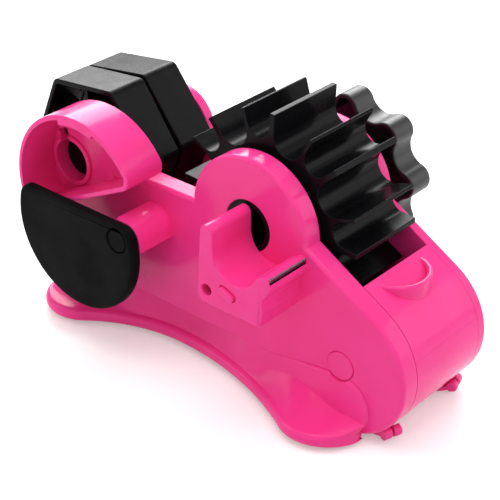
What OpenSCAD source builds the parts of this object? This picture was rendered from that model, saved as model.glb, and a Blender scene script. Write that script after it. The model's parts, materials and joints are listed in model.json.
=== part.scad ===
// Hand-turned tape dispenser: a station drum and a two-piece spool for 3 inch cores between hollow walls,
// on a flared base with suction cups. A half-round cup, a swing plate and a small cutter clip sit on the
// front wall.
// Millimetres. Origin on the table under the middle of the body, +X to the nose, +Y to the knob, +Z up.

/* [Walls] */
// Middle plane to the outer face of the front wall
wall_y = 32; // [30:0.5:36]
// Thickness of the front wall, liner included
wall_t = 9.5; // [8.5:0.5:11]
// Thickness of the rear wall, liner included
rear_wall_t = 5.8; // [5.6:0.1:9]
// Thickness of the moulded skins
skin = 2.2; // [1.6:0.1:2.6]
// Thickness of the liner on the bay side of a wall
liner_t = 2; // [1.5:0.1:2.5]
// Left foot of a wall
wall_left_x = -88; // [-92:0.5:-84]
// Height of the seat where the walls stand on the base
seat_z = 22.8; // [21:0.2:25]
// Place along X where the nose steps down past the base
step_x = 60; // [55:1:64]
// Height of the level ledge between spool and drum
ledge_z = 82.6; // [79:0.2:86]
// Slope of the deck down to the nose, in degrees
deck_slope = 30; // [27:1:34]
// Radius of the round nose
nose_r = 32.4; // [30:0.2:33.5]
// Centre of the nose along X
nose_x = 80.2; // [76:0.2:84]
// How much of the nose's circle the flat underside cuts off
nose_cut = 1.4; // [1:0.1:3]
// Height of the underside above the table
underside_z = 2; // [1.6:0.1:3]
// Radius of the wall's round head at the drum
drum_head_r = 31.5; // [29:0.1:34]
// Radius of the wall's round head at the spool
spool_head_r = 22.7; // [20:0.1:25]
// Length of the head's level top
head_run = 14; // [8:0.5:18]
// Radius of the head's corner towards the drum
head_corner_r = 20; // [16:0.5:22]

/* [Nose] */
// Length of deck between the open bay and the bend of the nose
bay_run = 15.2; // [12:0.2:18]
// Angle of the seam between the deck and the nose panel, in degrees above level
seam_angle = 18.5; // [10:0.5:25]
// Outer radius of the finger scoop on the deck
scoop_r = 15.6; // [13:0.1:18]
// Thickness of the scoop's rim
scoop_t = 2.4; // [1.8:0.1:3]
// How far the top of the rim lies below the deck's edge at the bay
scoop_drop = 1.5; // [0.5:0.1:3]
// Radius of the round cap on the nose
cap_r = 6.6; // [5:0.1:8]
// Radius of the tie tube between the walls in the nose
tie_r = 5; // [4:0.1:6]

/* [Base] */
// Centre of a left lobe along X
lobe_l_x = -73; // [-77:0.5:-69]
// How far the centre of a left lobe lies outside its wall
lobe_l_out = 1.5; // [0:0.1:4]
// Radius of a left lobe
lobe_l_r = 19.6; // [18:0.2:21]
// Centre of a right lobe along X
lobe_r_x = 72.7; // [70:0.1:76]
// How far the centre of a right lobe lies outside its wall
lobe_r_out = 2; // [0:0.1:4]
// Radius of a right lobe
lobe_r_r = 20.2; // [18:0.2:21]
// Narrowest place of the base along X
waist_x = -12; // [-20:0.5:0]
// How far the flange lies inside the wall's face at the narrowest place
waist_in = 0.2; // [0:0.1:2]
// Height of the rounded flange edge
flange_h = 6.5; // [5:0.1:8]
// Depth of the rounded flange edge
flange_d = 3; // [2:0.1:3.6]
// Least step from the flange edge back to the top of the flank
cove_in = 5; // [4:0.1:6]
// Place along X where the top of the flank starts to rise on the wall
rise_x = 34; // [28:0.5:40]
// Radius of the arch that the flank draws on the wall at the nose
arch_r = 14.2; // [13:0.1:15]
// Centre of that arch along X
arch_x = 81.8; // [80:0.1:83]
// Height of the centre of that arch
arch_z = 14.4; // [13:0.1:15]
// How far the flank stands out from the wall at the arch
arch_lip = 1.8; // [1:0.1:2.5]
// Thickness of the base's floor
floor_t = 2.5; // [2:0.1:3.5]

/* [Drum] */
// Drum axis along X
drum_x = 29; // [26:0.5:32]
// Height of the drum axis
drum_z = 81; // [79:0.5:84]
// Radius of the fin tips
tip_r = 48; // [45:0.5:50]
// Width of the drum over the fins
drum_w = 39; // [34:0.5:40]
// Number of stations round the drum
stations = 8; // [8:1:8]
// Angle of the first thick fin, in degrees
fin_angle = -3; // [-10:1:10]
// Angle between the two fins of a station, in degrees
fin_pair = 19.5; // [18:0.5:21]
// Thickness of a thin fin
fin_t = 1.6; // [1.2:0.1:2]
// Thickness of a thick fin
fin_thick = 2.6; // [2:0.1:3]
// Radius at which the narrow troughs bottom out
narrow_floor_r = 35.7; // [34:0.1:37]
// Radius at which the wide troughs bottom out
wide_floor_r = 32; // [31.5:0.1:34]
// Inner radius of the hollow drum core
core_r = 29; // [26:0.5:30]
// Radius of the hollow journal that turns in the walls
journal_r = 11.95; // [10:0.05:13]
// Wall of the hollow journal
journal_t = 2.45; // [2:0.05:3]
// Running clearance between a shaft and its hole
run_clear = 0.05; // [0.03:0.01:0.09]

/* [Knob] */
// Radius over the knob's lobes
knob_r = 36.5; // [34:0.5:39]
// Radius at the bottom of the knob's valleys
knob_valley_r = 29.2; // [27:0.2:31]
// Radius of a knob lobe
knob_lobe_r = 6.5; // [6:0.1:7]
// Width of the knob
knob_w = 13.4; // [11:0.2:16]
// Gap between the rear wall and the knob
knob_gap = 7.5; // [6:0.1:9]
// Angle of the first knob lobe, in degrees
knob_angle = 4; // [0:1:44]

/* [Spool] */
// Spool axis along X
spool_x = -76.5; // [-79:0.5:-74]
// Height of the spool axis
spool_z = 77.2; // [75:0.2:79]
// Radius over the corners of the six-sided spool, for a 76 mm core
spool_r = 38; // [36:0.1:38]
// Radius of the spool's rounded corners
spool_corner_r = 4; // [2:0.5:6]
// Thickness of the spool's band
band_t = 2.4; // [2:0.1:3]
// Width of each half of the spool
band_w = 20; // [17:0.1:20]
// Gap between the two halves of the spool
band_gap = 3.6; // [3:0.1:5]
// Turn of the six-sided band, in degrees
spool_angle = 6.2; // [0:0.2:59]
// How far the rear half stands turned on from the front one, in degrees
spool_slip = 2; // [0:0.2:10]
// Thickness of a spoke
spoke_t = 1.8; // [1.4:0.1:2.4]
// Radius of the spool axle
axle_r = 5; // [4:0.1:5.6]
// Outer radius of the spool's hub
hub_r = 8; // [7:0.1:9]
// Radius of the open hole in the front wall at the axle
axle_hole_r = 10; // [9.4:0.1:10.4]

/* [Side cup] */
// Centre of the cup along X
cup_x = -52.9; // [-55:0.2:-50]
// Height of the centre of the cup
cup_z = 73.9; // [72:0.2:76]
// Outer radius of the cup
cup_r = 38.7; // [37:0.2:40]
// Centre of the cup to its flat side
cup_flat = 1.2; // [0.5:0.1:2]
// Tilt of the flat side, in degrees
cup_tilt = 26.6; // [24:0.2:29]
// Radius of the cup's two corners
cup_corner_r = 6; // [4:0.2:7]
// Depth of the cup from the wall to its rim
cup_depth = 21.3; // [18:0.1:22]
// Thickness of the cup's floor
cup_floor_t = 1; // [0.8:0.1:1.6]
// Radius of the collar round the hole in the cup's floor
collar_r = 12.2; // [11.8:0.1:12.4]
// Height of the collar
collar_h = 1.2; // [1:0.1:2]
// Width of the slot that runs up from the hole
slot_w = 6; // [4:0.1:7]
// Axle to the end of that slot
slot_len = 15.5; // [14:0.5:16]
// Angle of that slot, in degrees
slot_angle = 112; // [100:1:120]

/* [Swing plate] */
// Centre of the plate along X
plate_x = -50.2; // [-52:0.1:-47]
// Height of the centre of the plate
plate_z = 60.1; // [58:0.1:61]
// Radius of the plate
plate_r = 36.3; // [34:0.1:37]
// Centre of the plate to its flat top edge
plate_flat = 12.6; // [11:0.1:14]
// Radius of the plate's two corners
plate_corner_r = 6; // [4:0.2:8]
// Thickness of the plate
plate_t = 5; // [4:0.1:6]
// Pivot along X from the centre of the plate
pivot_dx = 27.1; // [26:0.1:28]
// Pivot height above the centre of the plate
pivot_dz = 5.4; // [4:0.1:6]
// Radius of the pivot screw's shoulder
pivot_r = 3; // [2.5:0.1:3.2]
// Radius of the recess round the screw head
recess_r = 5.9; // [5.2:0.1:6.4]
// Depth of that recess
recess_h = 2.4; // [2:0.1:3]
// How far the plate swings up, in degrees
swing = 26; // [20:1:28]
// Height of the arm that carries the plate
arm_h = 12.9; // [12:0.1:14]
// Radius of the arm's upper outer corner
arm_corner_r = 9.3; // [7:0.1:10]
// Pivot to the outer end of the arm
arm_end = 8.5; // [8:0.1:9.4]
// Length of the arm's level top along X
arm_len = 13.8; // [12:0.2:16]
// Slope of the arm's side under the cup, in degrees
arm_slope = 52; // [45:1:60]
// Thickness of the spring washer on the pivot
washer_t = 1; // [0.6:0.1:1.4]
// Radius of the stop pin on the arm
stop_r = 1.4; // [1.1:0.1:1.5]
// Pivot to the stop pin
stop_orbit = 6.6; // [6.2:0.1:6.8]

/* [Cutter clip] */
// Centre of the clip's round seat along X
clip_x = 43; // [41:0.2:45]
// Height of the centre of the clip's round seat
clip_z = 80.5; // [79:0.2:82]
// Radius of the clip's round seat
seat_r = 12; // [11:0.1:12.5]
// Depth of the clip from the wall
clip_depth = 24.6; // [22:0.2:27]
// Thickness of the clip's tall arm at its tip
arm_t = 6.6; // [6:0.1:7.4]
// Seat centre up to the tip of the tall arm
arm_rise = 10.8; // [8:0.2:13]
// Seat centre down to the clip's underside
clip_drop = 26.5; // [25:0.1:28]
// Seat centre across to the crest with the blade
crest_dx = 15.4; // [15:0.1:16]
// Crest's centre below the seat centre
crest_drop = 5.3; // [5:0.1:6]
// Radius of the crest
crest_r = 3.3; // [3:0.1:3.6]
// Radius of the hollow finger grip under the crest
grip_r = 6; // [5:0.1:6.6]
// Thickness of the clip's front face
clip_face_t = 3; // [2.4:0.1:3.6]
// Length of the release button
button_len = 8.4; // [7:0.1:9]
// Width of the release button
button_w = 3.6; // [3:0.1:4]
// Travel of the release button
button_travel = 1.6; // [1:0.1:2]
// Play round the button
button_play = 0.3; // [0.2:0.05:0.4]
// Thickness of the blade
blade_t = 0.6; // [0.4:0.1:0.8]
// Width of the blade from its back to its tips
blade_w = 7; // [6:0.1:8]
// How far the blade's tips stand out of the crest
blade_out = 1.2; // [0.8:0.1:1.6]
// Pitch of the blade's teeth
tooth_pitch = 1.5; // [1:0.1:2.5]

/* [Feet and screws] */
// Radius of a suction cup's lip
foot_r = 10; // [8:0.1:11]
// Right cups along X
foot_right_x = 82; // [80:0.2:83]
// Left cups along X
foot_left_x = -66; // [-68:0.2:-60]
// Middle plane to a cup's axis
foot_y = 17; // [15:0.1:18]
// Radius of a cup's stud
stud_r = 2.5; // [2:0.1:3]
// How far a pull tab stands out past the nose
tab_out = 5.9; // [5:0.1:8]
// Turn of a pull tab outwards, in degrees
tab_turn = 18; // [0:1:25]
// Width of a pull tab
tab_w = 9; // [6:0.5:10]
// Height of the grip at the end of a pull tab
tab_rise = 4.6; // [3:0.1:5]
// Radius of the grip at the end of a pull tab
tab_grip_r = 2.4; // [2:0.1:2.8]
// Radius of a screw's shank
screw_r = 1.25; // [1:0.05:1.5]
// Radius of a screw's head
head_r = 2.4; // [2:0.1:2.8]
// Height of a screw's head
head_h = 1.4; // [1:0.1:1.8]
// Radius of a screw boss in a wall
boss_r = 2.6; // [2.3:0.1:2.65]

/* [Hidden] */
$fn = 96;
eps = 0.01;
face_gap = 0.1;
pink = "deeppink";
black = "#26262a";
steel = "silver";

// Height of the centre of the nose
nose_z = underside_z + nose_r - nose_cut;

// Planes across the body
bay_y = wall_y - wall_t;
liner_y = bay_y + liner_t;
skin_y = wall_y - skin;
rear_y = bay_y + rear_wall_t;

// Points in the side view, [x, z]
drum_c = [drum_x, drum_z];
spool_c = [spool_x, spool_z];
nose_c = [nose_x, nose_z];
head_top = spool_z + spool_head_r;
head_c = [spool_x + head_run, head_top - head_corner_r];
cup_c = [cup_x, cup_z];
plate_c = [plate_x, plate_z];
pivot_c = plate_c + [pivot_dx, pivot_dz];
clip_c = [clip_x, clip_z];
crest_c = clip_c + [crest_dx, -crest_drop];
deck_out = [sin(deck_slope), cos(deck_slope)];
deck_up = [-cos(deck_slope), sin(deck_slope)];
bay_edge = nose_c + nose_r * deck_out + bay_run * deck_up;

// Drum
pitch = 360 / stations;
hole_r = journal_r + run_clear;
journal_front_y = wall_y - 0.5;
journal_rear_y = rear_y + 1;
knob_y = rear_y + knob_gap;
knob_end_y = knob_y + knob_w;
hub_shoulder_y = bay_y - 2;
shoulder_r = journal_r + 3;
socket_y = journal_rear_y - 5;
socket_web = 3;
knob_cap_t = 2.5;
knob_overlap = 0.03;

// Base form
lobe_steps = 14;
waist_steps = 9;
edge_steps = 6;
cove_steps = 8;
cove_tight = 2.5;
flange_share = 0.9;

// Plate, arm and their stop
arm_y = wall_y + cup_depth - 0.3;
plate_y = arm_y + washer_t;
plate_front_y = plate_y + plate_t;
pivot_head_h = recess_h - 0.3;
pivot_head_r = recess_r - 0.6;
stop_h = 1.6;
stop_play = 0.3;
stop_angle = 200;

// Clip
clip_y = wall_y + clip_depth;
clip_left_x = clip_x - seat_r - arm_t - 1.9;
clip_low_z = clip_z - clip_drop;
clip_left_r = 3.5;
clip_right_r = 1.2;
grip_c = [crest_c.x + crest_r + grip_r - 4.2, crest_c.y - 10.4];
clip_screw = [clip_left_x + 4.9, clip_low_z + 6.3];
clip_bore_r = head_r + 0.2;
clip_tube_r = clip_bore_r + 1.6;
clip_web_t = 2.5;
button_c = [clip_x - 3.9, clip_low_z + 9.1];
button_tilt = -23.4;
button_flange = 0.6;
button_flange_t = 1.3;
button_proud = button_travel;
seat_web = 1.9;
button_back_y = clip_y - clip_face_t;
spring_wire = 0.5;
spring_r = 1.9;
blade_len = clip_depth - 1.6;
blade_tilt = 14;
blade_room = 0.5;
blade_at = crest_c + [0.6 * crest_r, -0.8];

// Screws and feet
liner_screws = [[-80, 42], [-40, 45], [22, 42], [93, 42]];
cup_screws = [[-56, 93], [-50.2, 75.8]];
cup_lug_r = 2.8;
cup_screw_len = skin + cup_floor_t + collar_h / 2;
arm_screws = [[pivot_c.x + 3.6, pivot_c.y - 2.8], [pivot_c.x - 8.4, pivot_c.y - 2.6]];
arm_screw_len = 12;
base_screw_x = [-62, 46];
base_screw_seat = 6;
base_boss_h = 12;
stud_h = 5;
tab_groove = 1.2;
tab_top = tab_rise + tab_grip_r;
tab_reach = nose_x + sqrt(nose_r ^ 2 - (nose_z - tab_top) ^ 2) + tab_out - foot_right_x;
cap_sunk = 1;
cap_proud = 0.6;
base_cavity_left = -78;

function arc(c, r, a0, a1, n) = [for (k = [0:n]) let (a = a0 + (a1 - a0) * k / n) c + r * [cos(a), sin(a)]];
function turn(a) = [cos(a), sin(a)];

// Where the line from p touches the circle at c, on its left side
function tangent(p, c, r) =
    let (d = c - p, a = atan2(d.y, d.x) + asin(r / norm(d)))
    p + sqrt(d * d - r * r) * turn(a);

// A side-view outline drawn out across the body
module across(y0, y1) {
    translate([0, y1, 0]) rotate([90, 0, 0]) linear_extrude(y1 - y0) children();
}

// A round bar across the body
module bar(p, r, y0, y1) {
    translate([p.x, y0, p.y]) rotate([-90, 0, 0]) cylinder(r = r, h = y1 - y0);
}

module ring(p, r_in, r_out, y0, y1) {
    difference() {
        bar(p, r_out, y0, y1);
        bar(p, r_in, y0 - 1, y1 + 1);
    }
}

// Screw along Y, its head seated at y and its shank going the way of dir
module screw_y(p, y, len, dir) {
    bar(p, screw_r, min(y, y + dir * len), max(y, y + dir * len));
    bar(p, head_r, min(y, y - dir * head_h), max(y, y - dir * head_h));
}

// Circle cut by a flat below its centre, with two round corners
module flat_disc(r, flat, corner) {
    run = sqrt((r - corner) ^ 2 - (flat - corner) ^ 2);
    rise = r * (corner - flat) / (r - corner);
    intersection() {
        circle(r);
        translate([-2 * r, rise]) square([4 * r, 2 * r]);
    }
    translate([-run, -flat]) square([2 * run, rise + flat]);
    for (s = [-1, 1]) translate([s * run, corner - flat]) circle(corner);
}

// Body outline in the side view, moved in by i all round
module body_outline(i = 0) {
    foot = [wall_left_x + i, seat_z + i];
    bend = nose_c + (nose_r - i) * deck_out;
    under_drum = bend + ((drum_c - bend) * deck_up) * deck_up;
    difference() {
        union() {
            translate(spool_c) circle(spool_head_r - i);
            translate(head_c) circle(head_corner_r - i);
            translate(drum_c) circle(drum_head_r - i);
            translate(nose_c) circle(nose_r - i);
            polygon([foot, tangent(foot, spool_c, spool_head_r - i), [spool_x, head_top - i],
                [head_c.x, head_top - i], [head_c.x, ledge_z - i], [drum_x, ledge_z - i], under_drum,
                bend, nose_c, [nose_x, underside_z + i], [step_x + i, underside_z + i],
                [step_x + i, seat_z + i]]);
        }
        translate([nose_x - 2 * nose_r, underside_z + i - nose_r]) square([4 * nose_r, nose_r]);
        translate([step_x + i, seat_z + i] - 2 * [nose_r, nose_r]) square(2 * nose_r);
    }
}

// Base: one side of the flange in plan, as [x, y out of the middle plane], from the left end to the nose
function next(points) = [for (k = [1:len(points) - 1]) points[k]];
function waist_r(c, r, w) = let (k = w.y - c.y) ((c.x - w.x) ^ 2 + k * k - r * r) / (2 * (r - k));
function flange_side(face) =
    let (l = [lobe_l_x, face + lobe_l_out], r = [lobe_r_x, face + lobe_r_out],
        w = [waist_x, face - waist_in],
        wl = w + [0, waist_r(l, lobe_l_r, w)], wr = w + [0, waist_r(r, lobe_r_r, w)],
        al = atan2(wl.y - l.y, wl.x - l.x), ar = atan2(wr.y - r.y, wr.x - r.x))
    concat(arc(l, lobe_l_r, 180, al, lobe_steps), next(arc(wl, wl.y - w.y, 180 + al, 270, waist_steps)),
        next(arc(wr, wr.y - w.y, 270, 180 + ar, waist_steps)), next(arc(r, lobe_r_r, ar, 0, lobe_steps)));

// Top of the flank above the flange's k-th point: along the wall's foot, then rising and round the arch
arch_k = lobe_steps + 2 * waist_steps;
arch_end = -35;
rise_part = 0.45;
function risen(x) = max(0, min(1, (x - rise_x) / (arch_x - rise_x)));
function rise_top(x, y, face) =
    [x, min(y, face + arch_lip * risen(x)),
        seat_z + (arch_z + arch_r - seat_z) * (1 - cos(180 * risen(x))) / 2];
function flank_top(p, k, face, join) =
    let (v = (k - arch_k) / lobe_steps, a = 90 + (arch_end - 90) * (v - rise_part) / (1 - rise_part))
    v <= 0 ? rise_top(max(p.x, wall_left_x + 1), p.y - cove_in, face)
        : v < rise_part ? rise_top(join + (arch_x - join) * v / rise_part, p.y, face)
        : [arch_x + arch_r * cos(a), face + arch_lip * (90 + a) / 180, arch_z + arch_r * sin(a)];

// Section from the flange up to the flank's top, as [way out, way up]; the flange is d deep and h high.
// The cove's corner is tighter near the nose.
skirt_z = 2 * seat_z;
lip_sunk = 0.3;
function section(d, h, x) =
    let (power = 2 / (2 + cove_tight * risen(x)))
    concat([for (k = [0:edge_steps]) let (a = 180 * k / edge_steps)
            [1 - d + d * sin(a), h * (1 - cos(a)) / 2]],
        [for (k = [1:cove_steps]) let (a = 90 * k / cove_steps)
            [(1 - d) * (1 - sin(a) ^ power), h + (1 - h) * (1 - max(cos(a), 0) ^ power)]]);

// Last two points of a column: the end of its ledge, and straight up from there
function lip_end(t, side) = [[t.x, side * t.y, t.z], [t.x, side * t.y, skirt_z]];

// The flank of one side: at each point of the flange, a column from there up to a skirt that the walls'
// room cuts off
function columns(face, side) =
    let (points = flange_side(face), join = points[arch_k].x)
    [for (k = [0:len(points) - 1])
        let (p = points[k], t = flank_top(p, k, face, join), d = max(norm(p - [t.x, t.y]), flange_d),
            h = min(flange_h / (t.z - underside_z), flange_share))
        concat([for (g = section(flange_d / d, h, p.x))
            [t.x + g[0] * (p.x - t.x), side * (t.y + g[0] * (p.y - t.y)),
                underside_z + g[1] * (t.z - underside_z)]],
            t.y > face ? lip_end([t.x, face - lip_sunk, t.z], side) : lip_end(t + [0, 0, 1], side))];

module base_form() {
    rear = columns(rear_y, 1);
    ring = concat(columns(wall_y, -1), [for (k = [len(rear) - 1:-1:0]) rear[k]]);
    n = len(ring);
    m = len(ring[0]);
    sides = [for (i = [0:n - 1], k = [0:m - 2]) let (a = i * m + k, b = ((i + 1) % n) * m + k)
        each [[a, a + 1, b + 1], [a, b + 1, b]]];
    // Underside and top as strips from front to rear
    ends = [for (i = [0:n / 2 - 2]) let (a = i * m, b = a + m, c = (n - 2 - i) * m, d = c + m, t = m - 1)
        each [[a, b, c, d], [d + t, c + t, b + t, a + t]]];
    polyhedron([for (c = ring, p = c) p], concat(sides, ends));
}

function base_screw_y(out) = (liner_y + out) / 2;

module base_tray() {
    tongue_end = nose_x + sqrt(nose_r ^ 2 - (nose_z - underside_z) ^ 2) - 1;
    high = 3 * seat_z;
    color(pink) difference() {
        base_form();
        // Room for the walls and the bay above the seat, for the bay down to the floor, and for the nose
        translate([-150, -wall_y - face_gap, seat_z]) cube([300, wall_y + rear_y + 2 * face_gap, high]);
        translate([base_cavity_left, -bay_y, underside_z + floor_t]) cube([300, 2 * bay_y, high]);
        translate([step_x - face_gap, -wall_y - face_gap, 0]) cube([100, wall_t + 2 * face_gap, high]);
        translate([step_x - face_gap, bay_y - face_gap, 0]) cube([100, rear_wall_t + 2 * face_gap, high]);
        translate([tongue_end, -wall_y - face_gap, 0]) cube([100, wall_y + rear_y + 2 * face_gap, high]);
        for (x = base_screw_x, y = [-base_screw_y(wall_y), base_screw_y(rear_y)]) translate([x, y, 0]) {
            cylinder(r = screw_r + run_clear, h = high);
            cylinder(r = head_r + 0.3, h = seat_z - base_screw_seat);
        }
        for (x = [foot_left_x, foot_right_x], s = [-1, 1]) translate([x, s * foot_y, 0])
            cylinder(r = stud_r + run_clear, h = high);
        bar(nose_c, cap_r + 3 * face_gap, -2 * wall_y, 2 * wall_y);
    }
}

module base_screws() {
    color(steel) for (x = base_screw_x, y = [-base_screw_y(wall_y), base_screw_y(rear_y)])
        translate([x, y, seat_z - base_screw_seat]) {
            cylinder(r = screw_r, h = base_screw_seat + base_boss_h - 2);
            translate([0, 0, -head_h]) cylinder(r = head_r, h = head_h);
        }
}

// A wall's hollow shell with its outer face at y = -out; the rear one is turned round by a mirror
module side_shell(out, front) {
    inside = skin - out;
    difference() {
        union() {
            difference() {
                across(-out, -liner_y) body_outline();
                across(inside, 0) body_outline(skin);
            }
            bar(drum_c, hole_r + skin, inside - eps, -liner_y);
            for (p = liner_screws) bar(p, boss_r, inside - eps, -liner_y);
            intersection() {
                for (x = base_screw_x) translate([x, -base_screw_y(out), seat_z])
                    cylinder(r = boss_r, h = base_boss_h);
                across(-out, -liner_y) body_outline();
            }
            if (front) {
                bar(clip_screw, boss_r, inside - eps, -liner_y);
                bar(spool_c, axle_hole_r + skin, inside - eps, -liner_y);
            }
        }
        bar(drum_c, hole_r, -out - 1, 0);
        bar(nose_c, cap_r + face_gap, -out - 1, -out + cap_sunk);
        for (p = liner_screws) bar(p, screw_r + run_clear, inside, 0);
        for (x = base_screw_x) translate([x, -base_screw_y(out), 0])
            cylinder(r = screw_r + run_clear, h = seat_z + base_boss_h - 1);
        if (front) {
            axle_opening(-out - 1, -liner_y);
            for (p = concat(cup_screws, arm_screws, [clip_screw]))
                bar(p, screw_r + run_clear, -out - 1, -liner_y - 1);
        }
    }
}

// Round hole for the axle with the slot that runs up from it
module axle_opening(y0, y1) {
    bar(spool_c, axle_hole_r, y0, y1);
    across(y0, y1) translate(spool_c) rotate(slot_angle) translate([0, -slot_w / 2])
        square([slot_len, slot_w]);
}

module liner() {
    difference() {
        union() {
            across(-liner_y, -bay_y) body_outline();
            bar(drum_c, hole_r + skin, -liner_y, -bay_y);
        }
        bar(drum_c, hole_r, -wall_y, 0);
        bar(spool_c, axle_r + run_clear, -wall_y, 0);
        for (p = liner_screws) {
            bar(p, screw_r + run_clear, -wall_y, 0);
            bar(p, head_r + face_gap, -bay_y - head_h, 0);
        }
    }
}

module front_side() color(pink) side_shell(wall_y, true);
module rear_side() color(pink) mirror([0, 1, 0]) side_shell(rear_y, false);
module front_liner() color(pink) liner();
module rear_liner() color(pink) mirror([0, 1, 0]) liner();

module liner_screw_set(out) {
    seat = bay_y + head_h;
    color(steel) for (p = liner_screws) screw_y(p, -seat, out - skin - seat - 0.3, -1);
}

module front_liner_screws() liner_screw_set(wall_y);
module rear_liner_screws() mirror([0, 1, 0]) liner_screw_set(rear_y);

// Skin of the nose between two angles round its centre
module nose_skin(region) {
    across(-bay_y + face_gap, bay_y - face_gap) intersection() {
        difference() {
            body_outline();
            body_outline(skin);
        }
        polygon(region);
    }
}

seam_ray = nose_c + 2 * nose_r * turn(seam_angle);

module nose_deck() {
    rim_z = bay_edge.y - scoop_drop;
    color(pink) union() {
        nose_skin([nose_c, seam_ray, seam_ray + [0, 2 * nose_r], bay_edge + nose_r * deck_out,
            bay_edge - 4 * skin * deck_out]);
        // Half-round rim that stands level on the sloping deck
        intersection() {
            translate([bay_edge.x, 0, nose_z]) difference() {
                cylinder(r = scoop_r, h = rim_z - nose_z);
                translate([0, 0, -1]) cylinder(r = scoop_r - scoop_t, h = 2 * nose_r);
            }
            across(-bay_y, bay_y) difference() {
                translate([bay_edge.x, nose_z]) square(2 * nose_r);
                body_outline(skin / 2);
            }
        }
    }
}

module nose_panel() {
    low = underside_z + floor_t + face_gap;
    color(pink) nose_skin([nose_c, seam_ray - [0, face_gap], [nose_x + 2 * nose_r, low], [nose_x, low]]);
}

module nose_tie() color(pink) ring(nose_c, screw_r + run_clear, tie_r, -bay_y, bay_y);

module nose_caps() {
    color(pink) {
        bar(nose_c, cap_r, -wall_y - cap_proud, cap_sunk - wall_y);
        bar(nose_c, cap_r, rear_y - cap_sunk, rear_y + cap_proud);
    }
}

// Half-round cup on the front wall
module cup_outline(i) {
    translate(cup_c) rotate(cup_tilt) flat_disc(cup_r - i, cup_flat - i, cup_corner_r - i);
}

module side_cup() {
    rim_y = -wall_y - cup_depth;
    floor_y = -wall_y - cup_floor_t;
    color(pink) difference() {
        union() {
            difference() {
                across(rim_y, -wall_y) cup_outline(0);
                across(rim_y - 1, floor_y) cup_outline(skin);
            }
            // Step inside the rim at the top
            intersection() {
                across(rim_y, rim_y + 3) difference() {
                    cup_outline(skin / 2);
                    cup_outline(2 * skin);
                }
                across(rim_y, rim_y + 3)
                    polygon([cup_c, cup_c + 2 * cup_r * turn(105), cup_c + 2 * cup_r * turn(71)]);
            }
            bar(spool_c, collar_r, floor_y - collar_h, floor_y);
            for (p = cup_screws) bar(p, cup_lug_r, floor_y - collar_h, floor_y);
        }
        axle_opening(floor_y - collar_h - 1, -wall_y + 1);
        for (p = cup_screws) bar(p, screw_r + run_clear, -skin_y - cup_screw_len - face_gap, 0);
    }
}

module side_cup_screws() {
    color(steel) for (p = cup_screws) screw_y(p, -skin_y, cup_screw_len, -1);
}

// Arm that carries the swing plate
module arm_outline() {
    top = plate_c.y + plate_flat;
    low = top - arm_h;
    right = pivot_c.x + arm_end;
    left = right - arm_len;
    difference() {
        polygon([[left, top], [left - arm_h / tan(arm_slope), low], [right, low], [right, top]]);
        translate([right - arm_corner_r, top - arm_corner_r]) difference() {
            square(2 * arm_corner_r);
            circle(arm_corner_r);
        }
    }
}

module plate_arm() {
    color(pink) difference() {
        union() {
            across(-arm_y, -wall_y) arm_outline();
            bar(pivot_c + stop_orbit * turn(stop_angle), stop_r, -arm_y - washer_t - stop_h, -arm_y + 1);
        }
        bar(pivot_c, screw_r + run_clear, -arm_y - 1, -arm_y + arm_screw_len);
        for (p = arm_screws) bar(p, screw_r + run_clear, -wall_y - arm_screw_len, -wall_y + 1);
    }
}

module arm_screws() color(steel) for (p = arm_screws) screw_y(p, -skin_y, arm_screw_len, -1);

module swing_plate() {
    color(black) difference() {
        across(-plate_front_y, -plate_y) translate(plate_c) rotate(180)
            flat_disc(plate_r, plate_flat, plate_corner_r);
        bar(pivot_c, pivot_r + run_clear, -plate_front_y - 1, 0);
        bar(pivot_c, recess_r, -plate_front_y - 1, -plate_front_y + recess_h);
        // Slot for the stop pin
        translate([pivot_c.x, -plate_y - stop_h - stop_play, pivot_c.y])
            rotate([90, 0, 0]) mirror([0, 0, 1]) rotate(stop_angle) rotate_extrude(angle = swing)
                translate([stop_orbit - stop_r - stop_play, 0]) square([2 * (stop_r + stop_play), plate_t]);
        for (a = [0, swing]) bar(pivot_c + stop_orbit * turn(stop_angle + a), stop_r + stop_play,
            -plate_y - stop_h - stop_play, 0);
    }
}

module pivot_screw() {
    seat = -plate_front_y + recess_h;
    color(black) union() {
        bar(pivot_c, pivot_head_r, seat - pivot_head_h, seat - face_gap);
        bar(pivot_c, pivot_r, seat - face_gap - eps, -arm_y);
        bar(pivot_c, screw_r, -arm_y - eps, -arm_y + arm_screw_len - 2);
    }
}

module pivot_washer() {
    color(steel) ring(pivot_c, pivot_r + run_clear, pivot_r + 1.6, -plate_y + face_gap, -arm_y);
}

// Trough between two fins: half angle and half thicknesses give the round floor that touches both
module trough(mid, half, thin, thick, floor_r) {
    t = (thin + thick) / 2;
    mid_r = (floor_r - t / 2) / (1 - sin(half));
    r = mid_r - floor_r;
    shift = (thick - thin) / 4;
    rotate(mid) translate([0, shift]) {
        translate([mid_r, 0]) circle(r);
        touch = [mid_r - r * sin(half), r * cos(half)];
        end = touch + 2 * tip_r * turn(half);
        polygon([[touch.x, -touch.y], [end.x, -end.y], end, touch]);
    }
}

module drum_outline() {
    difference() {
        circle(tip_r);
        circle(core_r);
        for (k = [0:stations - 1]) {
            a = fin_angle + k * pitch;
            trough(a + fin_pair / 2, fin_pair / 2, fin_t, fin_thick, narrow_floor_r);
            mirror([0, 1])
                trough(-a - (fin_pair + pitch) / 2, (pitch - fin_pair) / 2, fin_t, fin_thick, wide_floor_r);
        }
    }
}

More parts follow.
